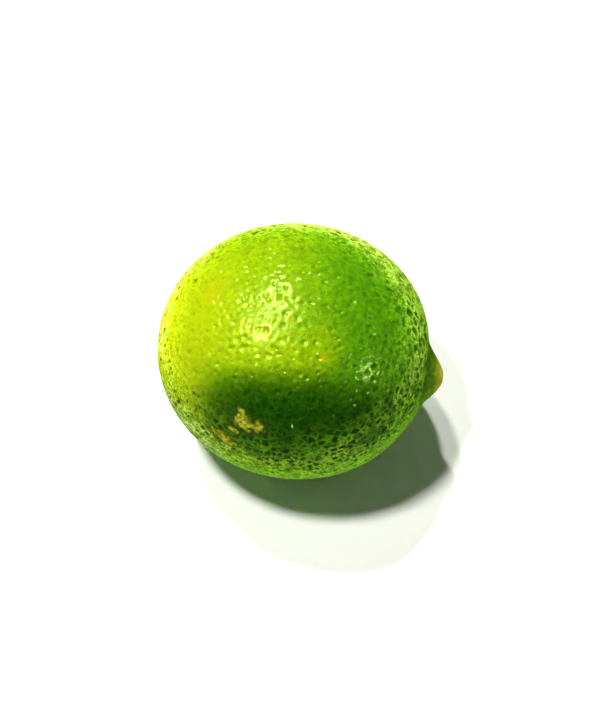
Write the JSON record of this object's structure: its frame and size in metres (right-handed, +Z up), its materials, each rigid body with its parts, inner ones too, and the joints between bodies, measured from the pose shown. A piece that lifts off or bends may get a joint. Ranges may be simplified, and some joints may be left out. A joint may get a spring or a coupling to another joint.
{
  "type": "lime",
  "caption": "Whole fresh lime with a low broad nipple at one end and a dimpled stem scar at the other, lying on a small flat spot.",
  "frame": {"origin": "on the surface the fruit rests on, under the middle of its bounding box", "axes": "+X along the fruit's axis from its stem end to its nipple, +Z up"},
  "size_m": [0.0602, 0.054, 0.0534],
  "materials": {
    "rind": "waxy, pebbled, green with a yellow patch"
  },
  "bodies": {
    "root": {"lime": "rind"}
  },
  "joints": []
}
